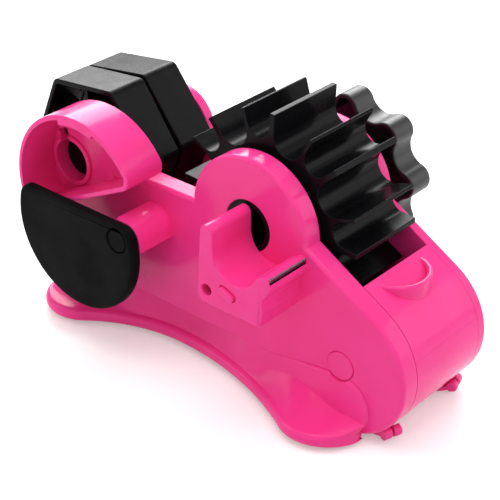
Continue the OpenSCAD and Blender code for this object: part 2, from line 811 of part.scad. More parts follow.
module drum() {
    color(black) difference() {
        union() {
            across(-drum_w / 2, drum_w / 2) translate(drum_c) drum_outline();
            bar(drum_c, core_r + 1, -1.5, 1.5);
            bar(drum_c, shoulder_r, -hub_shoulder_y, hub_shoulder_y);
            bar(drum_c, journal_r, -journal_front_y, journal_rear_y);
        }
        bar(drum_c, journal_r - journal_t, -wall_y, socket_y - socket_web);
        bar(drum_c, journal_r - journal_t, socket_y, wall_y);
        bar(drum_c, screw_r + run_clear, 0, wall_y);
    }
}

module drum_washers() {
    color("gray") for (s = [-1, 1]) mirror([0, s > 0 ? 1 : 0, 0])
        ring(drum_c, journal_r + 0.3, shoulder_r, -bay_y, -hub_shoulder_y - face_gap);
}

// Scalloped knob outline, moved in by i: lobes and valleys are circles that touch each other
module knob_outline(i) {
    half = pitch / 2;
    lobe_at = knob_r - knob_lobe_r;
    valley_r = (lobe_at ^ 2 + knob_valley_r ^ 2 - 2 * lobe_at * knob_valley_r * cos(half) - knob_lobe_r ^ 2)
        / (2 * (knob_lobe_r + lobe_at * cos(half) - knob_valley_r));
    lobe = [lobe_at, 0];
    valley = (knob_valley_r + valley_r) * turn(half);
    touch = lobe + (knob_lobe_r - i) * (valley - lobe) / norm(valley - lobe);
    difference() {
        union() {
            circle(norm(touch));
            for (k = [0:stations - 1]) rotate(knob_angle + k * pitch) translate(lobe)
                circle(knob_lobe_r - i);
        }
        for (k = [0:stations - 1]) rotate(knob_angle + k * pitch) translate(valley)
            circle(valley_r + i + knob_overlap);
    }
}

module knob() {
    spigot_r = journal_r - journal_t - run_clear;
    color(black) difference() {
        union() {
            difference() {
                across(knob_y, knob_end_y) translate(drum_c) knob_outline(0);
                across(knob_y - 1, knob_end_y - knob_cap_t) translate(drum_c) knob_outline(skin);
            }
            bar(drum_c, spigot_r, socket_y + face_gap, knob_end_y - knob_cap_t + eps);
            bar(drum_c, journal_r + 2, journal_rear_y, knob_end_y - knob_cap_t + eps);
        }
        bar(drum_c, screw_r + run_clear, 0, knob_end_y + 1);
        bar(drum_c, 2 * head_r, knob_end_y - head_h - 0.6, knob_end_y + 1);
    }
}

module knob_screw() {
    seat = knob_end_y - head_h - 0.6;
    color(steel) union() {
        bar(drum_c, 2 * head_r - 0.5, seat, seat + head_h);
        bar(drum_c, screw_r, socket_y - socket_web, seat + eps);
    }
}

// Six-sided spool, front and rear halves
module hex_outline(i) {
    at = spool_r - spool_corner_r * 2 / sqrt(3);
    corner = spool_corner_r - i;
    for (k = [0:5]) rotate(60 * k) translate([at, 0]) circle(corner);
    polygon([for (k = [0:5], s = [-30, 30]) at * turn(60 * k) + corner * turn(60 * k + s)]);
}

module spool_half(y0, y1, angle) {
    color(black) difference() {
        union() {
            across(y0, y1) translate(spool_c) rotate(angle) difference() {
                hex_outline(0);
                hex_outline(band_t);
            }
            across(y0 + 2, y1 - 2) translate(spool_c) rotate(angle + 30) difference() {
                for (k = [0:2]) rotate(60 * k)
                    square([2 * (spool_r * cos(30) - band_t / 2), spoke_t], center = true);
                circle(hub_r - 1);
            }
            bar(spool_c, hub_r, y0, y1);
        }
        bar(spool_c, axle_r + run_clear, y0 - 1, y1 + 1);
    }
}

band_in = band_gap / 2;
band_out = band_in + band_w;
clip_slot = 1.1;
clip_groove_r = axle_r - 0.8;
axle_front = liner_y + clip_slot + 1;
axle_rear = rear_y - skin - 0.3;

module spool_front() spool_half(-band_out, -band_in, spool_angle);
module spool_rear() spool_half(band_in, band_out, spool_angle + spool_slip);

module spool_axle() {
    color(black) difference() {
        bar(spool_c, axle_r, -axle_front, axle_rear);
        ring(spool_c, clip_groove_r, axle_r + 1, -liner_y - clip_slot, -liner_y);
        bar(spool_c, axle_r / 2, -axle_front - 1, axle_rear - 3);
    }
}

module axle_clip() {
    color(steel) difference() {
        ring(spool_c, clip_groove_r + run_clear, axle_r + 2.5, -liner_y - clip_slot + face_gap, -liner_y);
        translate([spool_x - clip_groove_r / 2, -wall_y, spool_z])
            cube([clip_groove_r, wall_y, 3 * axle_r]);
    }
}

// Black plug that closes the axle's hollow end in the cup's hole
module axle_cap() {
    bore = axle_r / 2;
    color(black) union() {
        bar(spool_c, axle_hole_r - 0.5, -axle_front - 1, -axle_front - face_gap);
        bar(spool_c, bore - run_clear, -axle_front - 0.5, -axle_front + 2 * bore);
    }
}

module spool_spacers() {
    r = axle_r + 0.3;
    color(black) union() {
        ring(spool_c, r, hub_r, -bay_y, -band_out - face_gap);
        ring(spool_c, r, hub_r, -band_in + face_gap, band_in - face_gap);
        ring(spool_c, r, hub_r, band_out + face_gap, bay_y);
    }
}

// Cutter clip: a tall arm, a round seat and a crest with the blade, over a hollow block
module clip_outline() {
    tip = [clip_x - seat_r - arm_t / 2, clip_z + arm_rise - arm_t / 2];
    left = [clip_left_x + clip_left_r, clip_low_z + clip_left_r];
    right = [crest_c.x - 1.5 - clip_right_r, clip_low_z + clip_right_r];
    difference() {
        union() {
            polygon([[clip_left_x, left.y], [left.x, clip_low_z], [right.x, clip_low_z],
                [right.x + clip_right_r, right.y], grip_c - [0, grip_r - 1], grip_c,
                crest_c + [crest_r, 0], crest_c, clip_c, tip + [arm_t / 2, 0], tip - [arm_t / 2, 0]]);
            translate(tip) circle(arm_t / 2);
            translate(left) circle(clip_left_r);
            translate(right) circle(clip_right_r);
            translate(crest_c) circle(crest_r);
        }
        translate(clip_c) circle(seat_r);
        translate(grip_c) circle(grip_r);
    }
}

// Blade's plane: places what is drawn in it, with its back at the bottom
module at_blade() {
    translate([blade_at.x, -wall_y - clip_depth / 2, blade_at.y]) rotate([0, blade_tilt, 0])
        translate([0, 0, crest_r + blade_out - blade_w]) children();
}

module clip_body() {
    wall = clip_face_t;
    color(pink) difference() {
        across(-clip_y, -wall_y) clip_outline();
        // Hollow behind the front face
        translate([clip_screw.x + clip_tube_r, -button_back_y, clip_low_z + wall])
            cube([crest_c.x - 5 - wall - clip_screw.x - clip_tube_r, clip_depth,
                clip_drop - seat_r - wall - seat_web]);
        bar(clip_screw, clip_bore_r, -clip_y - 1, -wall_y - clip_web_t);
        bar(clip_screw, screw_r + run_clear, -clip_y, 0);
        button_shape(button_play, -clip_y - 1, -button_back_y + 1);
        at_blade() translate([-blade_t / 2 - run_clear, -blade_len / 2 - face_gap, -face_gap])
            cube([blade_t + run_clear + blade_room, blade_len + 2 * face_gap, 2 * blade_w]);
    }
}

module clip_blade() {
    teeth = floor(blade_len / tooth_pitch);
    p = blade_len / teeth;
    gum = blade_w - 0.6 * tooth_pitch;
    color(steel) at_blade() rotate([90, 0, 90]) translate([0, 0, -blade_t / 2]) linear_extrude(blade_t)
        polygon(concat([[blade_len / 2, 0], [blade_len / 2, gum]],
            [for (k = [teeth - 1:-1:0]) let (x = k * p - blade_len / 2)
                each [[x + p / 2, blade_w], [x, gum]]],
            [[-blade_len / 2, 0]]));
}

module clip_fixing_screw() color(steel) screw_y(clip_screw, -wall_y - clip_web_t, clip_web_t + 4, 1);

// Long round-ended button, grown by g all round
module button_shape(g, y0, y1) {
    across(y0, y1) translate(button_c) rotate(button_tilt) {
        square([button_len - button_w, button_w + 2 * g], center = true);
        for (s = [-1, 1]) translate([s * (button_len - button_w) / 2, 0]) circle(button_w / 2 + g);
    }
}

module release_button() {
    color(pink) union() {
        button_shape(0, -clip_y - button_proud, -button_back_y + face_gap);
        button_shape(button_flange, -button_back_y + face_gap, -button_back_y + button_flange_t);
    }
}

module button_spring() {
    back = -button_back_y + button_flange_t;
    color(steel) ring(button_c, spring_r - spring_wire, spring_r, back + face_gap, -wall_y);
}

// Suction cup with a stud in the base's floor
module suction_cup(x, y) {
    lip = underside_z - face_gap;
    color(pink) translate([x, y, 0]) rotate_extrude() polygon([[foot_r - 3, 0], [foot_r, 0], [foot_r, 0.5],
        [stud_r + 3, lip], [stud_r, lip], [stud_r, stud_h], [0, stud_h], [0, 1.2], [stud_r, 1.2]]);
}

// Pull tab of a cup at the nose, with a grip of two rolls at its end
module pull_tab(x, side) {
    grip = [tab_reach - foot_r - tab_grip_r, tab_rise];
    roll_w = (tab_w - tab_groove) / 2;
    color(pink) translate([x, side * foot_y, 0]) rotate(side * tab_turn) translate([foot_r, 0, 0]) {
        rotate([90, 0, 0]) linear_extrude(tab_w, center = true)
            polygon([[-1, 0], [2, 0], [grip.x, grip.y - 1], [grip.x, grip.y + 1], [1, 1.6], [-1, 0.5]]);
        for (y = [-tab_groove / 2, tab_w / 2]) translate([grip.x, y, grip.y]) rotate([90, 0, 0])
            cylinder(r = tab_grip_r, h = roll_w);
    }
}

module suction_cup_front_right() {
    suction_cup(foot_right_x, -foot_y);
    pull_tab(foot_right_x, -1);
}

module suction_cup_rear_right() {
    suction_cup(foot_right_x, foot_y);
    pull_tab(foot_right_x, 1);
}

module suction_cup_front_left() suction_cup(foot_left_x, -foot_y);
module suction_cup_rear_left() suction_cup(foot_left_x, foot_y);

base_tray();
front_side();
front_liner();
rear_side();
rear_liner();
nose_deck();
nose_panel();
nose_tie();
nose_caps();
front_liner_screws();
rear_liner_screws();
base_screws();
side_cup();
side_cup_screws();
plate_arm();
arm_screws();
swing_plate();
pivot_screw();
pivot_washer();
drum();
drum_washers();
knob();
knob_screw();
spool_axle();
spool_front();
spool_rear();
spool_spacers();
axle_clip();
axle_cap();
clip_body();
clip_blade();
clip_fixing_screw();
release_button();
button_spring();
suction_cup_front_right();
suction_cup_rear_right();
suction_cup_front_left();
suction_cup_rear_left();
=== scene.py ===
import json
import math

import bmesh
import bpy
from mathutils import Matrix, Vector


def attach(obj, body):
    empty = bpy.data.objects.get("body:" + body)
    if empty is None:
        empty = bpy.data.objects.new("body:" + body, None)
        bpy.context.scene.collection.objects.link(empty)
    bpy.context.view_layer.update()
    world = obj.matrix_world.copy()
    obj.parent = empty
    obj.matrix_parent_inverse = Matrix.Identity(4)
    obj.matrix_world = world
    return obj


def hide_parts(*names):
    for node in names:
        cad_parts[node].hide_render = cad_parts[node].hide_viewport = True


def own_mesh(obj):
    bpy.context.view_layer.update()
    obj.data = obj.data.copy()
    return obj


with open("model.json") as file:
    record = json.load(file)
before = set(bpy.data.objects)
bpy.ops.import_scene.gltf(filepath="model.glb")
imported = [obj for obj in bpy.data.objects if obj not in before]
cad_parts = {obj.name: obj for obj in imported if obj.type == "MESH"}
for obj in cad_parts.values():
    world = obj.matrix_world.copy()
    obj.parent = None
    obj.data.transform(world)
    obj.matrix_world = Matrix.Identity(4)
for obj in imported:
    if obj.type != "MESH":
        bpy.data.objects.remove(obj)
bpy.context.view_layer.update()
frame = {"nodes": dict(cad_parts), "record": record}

nodes = frame["nodes"]
record = frame["record"]
body_of = {n: b for b, members in record["behaviour"]["bodies"].items() for n in members}
slot_of = {s["node"]: s["material_slot"] for s in record["subparts"]}
MM = 0.001


# Materials

# Depths of the relief, in metres, and the part of a noise's range that is used
FINE_DEPTH, CLOUD_DEPTH = 0.00002, 0.0001
NOISE_LOW, NOISE_HIGH = 0.3, 0.7


def new_material(name):
    """An empty node material with its Principled shader and the object's own coordinates."""
    material = bpy.data.materials.new(name)
    material.use_nodes = True
    tree = material.node_tree
    shader = tree.nodes["Principled BSDF"]
    place = tree.nodes.new("ShaderNodeTexCoord")
    return material, tree, shader, place.outputs["Object"]


def noise(tree, place, scale, detail=3.0, stretch=None):
    """Noise of about 1 / scale metres, drawn out along an axis where stretch says so."""
    node = tree.nodes.new("ShaderNodeTexNoise")
    node.inputs["Scale"].default_value = scale
    node.inputs["Detail"].default_value = detail
    if stretch:
        mapping = tree.nodes.new("ShaderNodeMapping")
        mapping.inputs["Scale"].default_value = stretch
        tree.links.new(place, mapping.inputs["Vector"])
        place = mapping.outputs["Vector"]
    tree.links.new(place, node.inputs["Vector"])
    return node.outputs["Fac"]


def spread(tree, value, start, end, low, high):
    """Maps a value between start and end to the range from low to high, and holds it beyond."""
    node = tree.nodes.new("ShaderNodeMapRange")
    for name, number in (("From Min", start), ("From Max", end), ("To Min", low), ("To Max", high)):
        node.inputs[name].default_value = number
    tree.links.new(value, node.inputs["Value"])
    return node.outputs["Result"]


def ramp(tree, value, low, high):
    """Maps a noise value to the range from low to high: numbers, or colours."""
    if isinstance(low, tuple):
        node = tree.nodes.new("ShaderNodeValToRGB")
        node.color_ramp.elements[0].position = NOISE_LOW
        node.color_ramp.elements[0].color = (*low, 1)
        node.color_ramp.elements[1].position = NOISE_HIGH
        node.color_ramp.elements[1].color = (*high, 1)
        tree.links.new(value, node.inputs["Fac"])
        return node.outputs["Color"]
    return spread(tree, value, NOISE_LOW, NOISE_HIGH, low, high)


def bump(tree, shader, heights):
    """Adds up bumps, each as (height, strength, depth in metres)."""
    normal = None
    for height, strength, depth in heights:
        node = tree.nodes.new("ShaderNodeBump")
        node.inputs["Strength"].default_value = strength
        node.inputs["Distance"].default_value = depth
        tree.links.new(height, node.inputs["Height"])
        if normal:
            tree.links.new(normal, node.inputs["Normal"])
        normal = node.outputs["Normal"]
    tree.links.new(normal, shader.inputs["Normal"])


def moulded(name, low, high, rough, orange_peel, gloss):
    """Injection-moulded plastic: cloudy colour, smeared gloss and a fine orange peel."""
    material, tree, shader, place = new_material(name)
    clouds = noise(tree, place, scale=45)
    fine = noise(tree, place, scale=900, detail=2)
    smears = noise(tree, place, scale=160, detail=4)
    tree.links.new(ramp(tree, clouds, low, high), shader.inputs["Base Color"])
    tree.links.new(ramp(tree, smears, *rough), shader.inputs["Roughness"])
    shader.inputs["IOR"].default_value = 1.5
    shader.inputs["Specular IOR Level"].default_value = gloss
    bump(tree, shader, [(fine, orange_peel, FINE_DEPTH), (clouds, 0.25, CLOUD_DEPTH)])
    return material


def brushed(name, low, high):
    """Ground steel with fine lines across the body."""
    material, tree, shader, place = new_material(name)
    lines = noise(tree, place, scale=2500, detail=2, stretch=(1, 0.03, 1))
    tree.links.new(ramp(tree, lines, low, high), shader.inputs["Base Color"])
    tree.links.new(ramp(tree, lines, 0.2, 0.38), shader.inputs["Roughness"])
    shader.inputs["Metallic"].default_value = 1.0
    bump(tree, shader, [(lines, 0.1, FINE_DEPTH)])
    return material


looks = {
    "pink_plastic": moulded("pink_abs", (0.86, 0.038, 0.25), (0.90, 0.046, 0.28),
                            rough=(0.14, 0.22), orange_peel=0.06, gloss=0.16),
    "soft_pink": moulded("soft_pink_pvc", (0.82, 0.036, 0.25), (0.88, 0.046, 0.29),
                         rough=(0.32, 0.45), orange_peel=0.1, gloss=0.4),
    "black_plastic": moulded("black_abs", (0.003, 0.003, 0.0035), (0.005, 0.005, 0.006),
                             rough=(0.2, 0.3), orange_peel=0.08, gloss=0.07),
    "washer_nylon": moulded("grey_nylon", (0.32, 0.32, 0.33), (0.4, 0.4, 0.41),
                            rough=(0.4, 0.5), orange_peel=0.1, gloss=0.5),
    "steel": brushed("ground_steel", (0.5, 0.5, 0.52), (0.72, 0.72, 0.74)),
}
grained_black = moulded("grained_black_abs", (0.004, 0.004, 0.0045), (0.009, 0.009, 0.01),
                        rough=(0.45, 0.6), orange_peel=0.5, gloss=0.02)
bright_black = moulded("bright_black_abs", (0.004, 0.004, 0.0045), (0.006, 0.006, 0.007),
                       rough=(0.3, 0.4), orange_peel=0.06, gloss=0.4)
dark_steel = brushed("blade_steel", (0.12, 0.12, 0.13), (0.2, 0.2, 0.21))
special = {
    "swing_plate": grained_black,
    "pivot_screw": grained_black,
    "knob": bright_black,
    "clip_blade": dark_steel,
}


def look_of(node):
    """A node's own material, or its slot's."""
    return special.get(node, looks[slot_of[node]])


for name, node in nodes.items():
    node.data.materials.clear()
    node.data.materials.append(look_of(name))


# Mesh tools

# Edges sharper than ROUND_FROM can be rounded, those up to SMOOTH_TO are shaded smooth, those up to FLAT go
ROUND_FROM, SMOOTH_TO, FLAT = math.radians(35), math.radians(38), math.radians(0.4)
# How near counts as the same place, in mm, and as the same point of a CAD mesh and of any mesh, in metres
SAME, MERGE, TOUCH = 0.02, 2e-6, 1e-7
# Cosines: an edge that runs along an axis, and a face that looks away
ALONG, AWAY = 0.999, 0.3


def finish_mesh(mesh):
    """Outward normals, smooth shading with sharp edges kept, and no doubled points."""
    bm = bmesh.new()
    bm.from_mesh(mesh)
    bmesh.ops.remove_doubles(bm, verts=bm.verts, dist=TOUCH)
    bmesh.ops.dissolve_degenerate(bm, edges=bm.edges, dist=TOUCH)
    bmesh.ops.recalc_face_normals(bm, faces=bm.faces)
    bm.to_mesh(mesh)
    bm.free()
    if "custom_normal" in mesh.attributes:
        mesh.attributes.remove(mesh.attributes["custom_normal"])
    mesh.shade_smooth()
    mesh.set_sharp_from_angle(angle=SMOOTH_TO)


def piece(name, mesh, node):
    """Makes a mesh a piece that stands for a CAD node, with that node's body and look."""
    finish_mesh(mesh)
    obj = bpy.data.objects.new(name, mesh)
    bpy.context.scene.collection.objects.link(obj)
    mesh.materials.clear()
    mesh.materials.append(look_of(node))
    weighted = obj.modifiers.new("even_normals", "WEIGHTED_NORMAL")
    weighted.keep_sharp = True
    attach(obj, body_of[node])
    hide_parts(node)
    return obj


def box_cutter(low, high):
    """A box between two corners."""
    mesh = bmesh.new()
    bmesh.ops.create_cube(mesh, size=1)
    for v in mesh.verts:
        v.co = Vector(((a if c < 0 else b) * MM for a, b, c in zip(low, high, v.co)))
    return mesh


def rod_cutter(x, y, r, z0, z1):
    """An upright rod."""
    mesh = bmesh.new()
    bmesh.ops.create_cone(mesh, cap_ends=True, segments=64, radius1=r * MM, radius2=r * MM,
                          depth=(z1 - z0) * MM)
    bmesh.ops.translate(mesh, verts=mesh.verts, vec=Vector((x, y, (z0 + z1) / 2)) * MM)
    return mesh


def profile_cutter(profile, y0, y1):
    """An outline of (x, z) drawn out across the body."""
    mesh = bmesh.new()
    ends = [[mesh.verts.new(Vector((x, y, z)) * MM) for x, z in profile] for y in (y0, y1)]
    sides = list(zip(*ends))
    for a, b in zip(sides, sides[1:] + sides[:1]):
        mesh.faces.new((*a, *reversed(b)))
    for end in ends:
        mesh.faces.new(end)
    bmesh.ops.recalc_face_normals(mesh, faces=mesh.faces)
    return mesh


def smooth_line(points, steps=8):
    """Points on a smooth curve through the given ones."""
    points = [Vector(p) for p in points]
    ends = [2 * points[0] - points[1]] + points + [2 * points[-1] - points[-2]]
    line = []
    for a, b, c, d in zip(ends, ends[1:], ends[2:], ends[3:]):
        for k in range(steps):
            t = k / steps
            bend = 2 * a - 5 * b + 4 * c - d + t * (3 * (b - c) + d - a)
            line.append(b + 0.5 * t * (c - a + t * bend))
    return line + [points[-1]]


def cut_out(mesh, cutters):
    """The mesh with cutters taken out of it."""
    scene = bpy.context.scene.collection
    blank = bpy.data.objects.new("blank", mesh)
    scene.objects.link(blank)
    for cutter in cutters:
        form = bpy.data.meshes.new("cutter")
        cutter.to_mesh(form)
        cutter.free()
        tool = bpy.data.objects.new("cutter", form)
        scene.objects.link(tool)
        cut = blank.modifiers.new("cut", "BOOLEAN")
        cut.operation, cut.solver, cut.object = "DIFFERENCE", "MANIFOLD", tool
        bpy.context.view_layer.update()
        cut_blank = blank.evaluated_get(bpy.context.evaluated_depsgraph_get())
        result = bpy.data.meshes.new_from_object(cut_blank)
        blank.modifiers.clear()
        blank.data = result
        bpy.data.objects.remove(tool)
    bpy.data.objects.remove(blank)
    return result


def rounded(name, node, *rounds, reshape=None, cutters=()):
    """A node's CAD form as a piece with rounded edges; each round is (edges to pick, radius in mm).
    Before that, reshape moves a point of the form, in mm, and cutters are taken out of it."""
    bm = bmesh.new()
    bm.from_mesh(nodes[node].data)
    if reshape:
        for v in bm.verts:
            v.co = reshape(v.co / MM) * MM
    bmesh.ops.remove_doubles(bm, verts=bm.verts, dist=MERGE)
    if cutters:
        blank = bpy.data.meshes.new(name)
        bm.to_mesh(blank)
        bm.clear()
        bm.from_mesh(cut_out(blank, cutters))
        bmesh.ops.remove_doubles(bm, verts=bm.verts, dist=MERGE)
    bmesh.ops.triangulate(bm, faces=bm.faces)
    bmesh.ops.dissolve_limit(bm, angle_limit=FLAT, verts=bm.verts, edges=bm.edges)
    for pick, radius in rounds:
        edges = [e for e in bm.edges if e.is_manifold and e.calc_face_angle() > ROUND_FROM and pick(e)]
        steps = 5 if radius > 1 else 3
        bmesh.ops.bevel(bm, geom=edges, offset=radius * MM, offset_type="OFFSET", segments=steps,
                        profile=0.5, affect="EDGES")
    mesh = bpy.data.meshes.new(name)
    bm.to_mesh(mesh)
    bm.free()
    return piece(name, mesh, node)


def in_plane(axis, *places):
    """Picks edges in planes across an axis."""
    k = "xyz".index(axis)
    return lambda edge: any(all(abs(v.co[k] / MM - place) < SAME for v in edge.verts) for place in places)


def along_y(edge):
    """Picks edges that run across the body."""
    way = edge.verts[1].co - edge.verts[0].co
    return abs(way.y) > ALONG * way.length


def within(c, r):
    """Picks edges less than r from the cross axis through c."""
    return lambda edge: all(math.dist((v.co.x / MM, v.co.z / MM), c) < r for v in edge.verts)


def apart(c, r):
    """Picks edges more than r from the cross axis through c."""
    return lambda edge: all(math.dist((v.co.x / MM, v.co.z / MM), c) > r for v in edge.verts)


def outward(middle):
    """Picks edges with a face that looks away from a middle, (x, z) in mm."""
    def pick(edge):
        at = (edge.verts[0].co + edge.verts[1].co) / (2 * MM)
        away = Vector((at.x - middle[0], 0, at.z - middle[1])).normalized()
        return max(face.normal.dot(away) for face in edge.link_faces) > AWAY
    return pick


def every(*picks):
    """Picks edges that all the picks take."""
    return lambda edge: all(pick(edge) for pick in picks)


def either(*picks):
    """Picks edges that one of the picks takes."""
    return lambda edge: any(pick(edge) for pick in picks)


# Stage, light and camera

def seen(tree):
    """1 where the ray comes from the camera or by a mirror or a clear piece, else 0."""
    rays = tree.nodes.new("ShaderNodeLightPath")
    total = rays.outputs["Is Camera Ray"]
    for kind in ("Is Glossy Ray", "Is Transmission Ray"):
        add = tree.nodes.new("ShaderNodeMath")
        add.operation = "ADD"
        add.use_clamp = True
        tree.links.new(total, add.inputs[0])
        tree.links.new(rays.outputs[kind], add.inputs[1])
        total = add.outputs["Value"]
    return total


def floor_look():
    """Pale floor that holds the object's shadow and, farther out, runs into the white background."""
    material, tree, shader, place = new_material("pale_floor")
    shade = ramp(tree, noise(tree, place, scale=3), (0.80, 0.80, 0.80), (0.82, 0.82, 0.82))
    tree.links.new(shade, shader.inputs["Base Color"])
    shader.inputs["Roughness"].default_value = 0.9
    away = tree.nodes.new("ShaderNodeVectorMath")
    away.operation = "LENGTH"
    tree.links.new(place, away.inputs[0])
    glow = tree.nodes.new("ShaderNodeMath")
    glow.operation = "MULTIPLY"
    tree.links.new(seen(tree), glow.inputs[0])
    lift = spread(tree, away.outputs["Value"], start=0.5, end=2, low=0.3, high=0.8)
    tree.links.new(lift, glow.inputs[1])
    shader.inputs["Emission Color"].default_value = (1, 1, 1, 1)
    tree.links.new(glow.outputs["Value"], shader.inputs["Emission Strength"])
    return material


def add_floor():
    """The floor, as a part of the stage."""
    bpy.ops.mesh.primitive_plane_add(size=12)
    floor = bpy.context.object
    floor.name = "floor"
    floor.data.materials.append(floor_look())


def add_world():
    """White where the camera looks past the floor, softly graded from the zenith down elsewhere."""
    world = bpy.data.worlds.new("studio")
    world.use_nodes = True
    tree = world.node_tree
    shader = tree.nodes["Background"]
    shader.inputs["Color"].default_value = (1, 1, 1, 1)
    place = tree.nodes.new("ShaderNodeTexCoord")
    axes = tree.nodes.new("ShaderNodeSeparateXYZ")
    tree.links.new(place.outputs["Generated"], axes.inputs["Vector"])
    strength = tree.nodes.new("ShaderNodeMix")
    tree.links.new(seen(tree), strength.inputs["Factor"])
    sky = spread(tree, axes.outputs["Z"], start=-0.1, end=1, low=0.3, high=0.45)
    tree.links.new(sky, strength.inputs["A"])
    strength.inputs["B"].default_value = 1.0
    tree.links.new(strength.outputs["Result"], shader.inputs["Strength"])
    bpy.context.scene.world = world


def add_lamp(name, place, target, size, power):
    """A soft box that looks at the target."""
    data = bpy.data.lights.new(name, "AREA")
    data.shape = "RECTANGLE"
    data.size, data.size_y = size
    data.energy = power
    lamp = bpy.data.objects.new(name, data)
    lamp.location = place
    lamp.rotation_euler = (Vector(target) - Vector(place)).to_track_quat("-Z", "Y").to_euler()
    bpy.context.scene.collection.objects.link(lamp)


def add_camera():
    """The photograph's viewpoint: turned to the right of the front wall and looking down on it."""
    azimuth, elevation, distance = math.radians(40.87), math.radians(30.65), 0.6514
    target = Vector((0.01116, -0.00977, 0.05245))
    level = math.cos(elevation)
    back = Vector((math.sin(azimuth) * level, -math.cos(azimuth) * level, math.sin(elevation)))
    data = bpy.data.cameras.new("camera")
    data.lens = 105.06
    data.sensor_width = 36
    camera = bpy.data.objects.new("camera", data)
    camera.location = target + distance * back
    camera.rotation_euler = (-back).to_track_quat("-Z", "Y").to_euler()
    bpy.context.scene.collection.objects.link(camera)
    bpy.context.scene.camera = camera


# Pieces, in mm: axes across the body as (x, z)

DRUM = (29.0, 81.0)
SPOOL = (-76.5, 77.2)
NOSE = (80.2, 33.0)
PIVOT = (-23.1, 65.5)
PLATE = (-50.2, 60.1)
CLIP_SCREW = (27.4, 60.3)
BUTTON = (39.1, 63.1)

# Faces of the pieces
WALL_Y, REAR_Y, BAY_Y, LINER_Y = 32.0, 28.3, 22.5, 24.5
SEAT_Z, STEP_X, UNDERSIDE_Z, DECK_Z = 22.8, 60.0, 2.0, 67.16
CUP_RIM_Y, CUP_COLLAR_Y, ARM_Y = -53.3, -34.2, -53.0
PLATE_FRONT_Y, PLATE_BACK_Y, PIVOT_HEAD_Y = -59.0, -54.0, -58.7
CLIP_Y, BUTTON_Y, PLUG_Y, CAP_OUT = -56.6, -58.2, -27.6, 0.6
KNOB_FRONT_Y, KNOB_BACK_Y = 35.8, 49.2
FIN_Y, FIN_END_Y = 19.5, 22.0
SPOOL_OUTER_Y, SPOOL_INNER_Y, SPOOL_CLOSE_Y = 21.8, 1.8, 0.9
TAB_GRIP_X = 103.0

# How far the edges of holes, heads and rims lie from their axes
DRUM_HOLE_R, NOSE_CAP_R, AXLE_HOLE_R, NOSE_R = 14.0, 8.0, 18.0, 32.4
CLIP_HOLE_R, CLIP_SEAT_R, BUTTON_R = 4.0, 5.0, 7.0
PIVOT_BORE_R, PIVOT_HEAD_R = 2.0, 7.0
FIN_TIP_R, SPOOL_RIM_R, SPOOL_CORNER_R = 44.0, 29.0, 36.0

# Radii of the rounded edges
EDGE = {
    "wall": 1.8, "wall_hole": 0.5, "lining": 0.4, "deck": 1.1, "caps": 0.5,
    "cup_rim": 0.7, "cup_collar": 0.3, "arm": 0.8,
    "plate": 2.0, "plate_back": 0.6, "plate_recess": 0.4, "pivot_head": 0.4,
    "clip": 0.7, "clip_seat": 0.8, "clip_slot": 0.5, "button": 0.5,
    "fin": 0.3, "knob": 0.8, "spool_corner": 4, "spool_rim": 0.6, "plug": 0.3, "tab": 0.9,
}

# Plate: the rim moves out by up to PLATE_FULLER, from FULLER_FROM of its radius above the middle down
PLATE_R, PLATE_RIM, PLATE_FULLER, FULLER_FROM = 36.3, 0.97, 2.0, 0.25

# Cup: a place inside its rim, the middle and slope of its flat side, and the nib that the rim's step leaves
# there, as places along and away from that side
CUP = (-60, 88)
CUP_FLAT, CUP_TILT = Vector((-52.9, 73.9)), math.radians(26.6)
NIB, NIB_FRONT_Y, NIB_BACK_Y = ((-1, 1.02), (5, 1.02), (5, 5), (-1, 5)), -54.0, -50.2

# Clip: the wavy outline of its grip, and what is cut off its arm
GRIP = [(62, 74.6), (61.2, 72.2), (59, 68.6), (57.6, 65), (58.1, 61.9), (57.5, 58.7), (56.4, 54.2), (56, 52)]
GRIP_OUT_X, CLIP_FRONT_Y, CLIP_BACK_Y = 72.0, -60.0, -31.0
ARM_LOW, ARM_HIGH = (31, CLIP_FRONT_Y, 80.5), (43, CLIP_BACK_Y, 96)


def clear_of_base(edge):
    """Picks a wall's edges above its foot on the base."""
    margin = 0.6

    def on_base(v):
        x, z = v.co.x / MM, v.co.z / MM
        return z < UNDERSIDE_Z + margin or (z < SEAT_Z + margin and x < STEP_X + margin)
    return not all(on_base(v) for v in edge.verts)


# Base: lobes as (centre x, way out of the wall's face, radius), and the arch that the flank draws there
LOBE_LEFT, LOBE_RIGHT = (-73.0, 1.5, 19.6), (72.7, 2.0, 20.14)
WAIST_X, WAIST_IN = -12.0, 0.2
FLANGE_H, FLANGE_D, COVE_IN = 6.5, 3.0, 5.0
ARCH, ARCH_R, ARCH_LIP, ARCH_END = (81.8, 14.4), 14.2, 1.8, -42.0
RISE_X, RISE_PART, WALL_LEFT_X, GAP = 34.0, 0.45, -88.0, 0.1
LOBE_STEPS, WAIST_STEPS, ROLL_STEPS, COVE_STEPS, LIP_STEPS = 56, 30, 14, 20, 6
LIP_ROUND, LIP_IN, SKIRT, FLANGE_MOST, RISE_EASE = 2.4, 0.3, 30.0, 0.9, 0.58
# Crease: how far out and up it lies as shares of the flank, and the x between which it grows and falls
CREASE_OUT, CREASE_UP, CREASE_FALL = 0.05, 0.62, 0.45
CREASE_GROWS_X, CREASE_FALLS_X = (12, 64), (50, 84)
# Holes and hollows of the base
BASE_SCREW_X, BASE_SCREW_R, BASE_SCREW_HEAD_R, BASE_SCREW_GRIP = (-62, 46), 1.3, 2.7, 6.0
SUCKER_X, SUCKER_Y, SUCKER_STEM_R = (-66, 82), (-17, 17), 2.55
BAY_LEFT_X, BAY_FLOOR_Z, TONGUE_SHORT, CAP_ROOM_R, CAP_ROOM_Y = -78.0, 4.5, 1.0, 6.9, 60.0
FAR, BELOW_Z = 200.0, -1.0


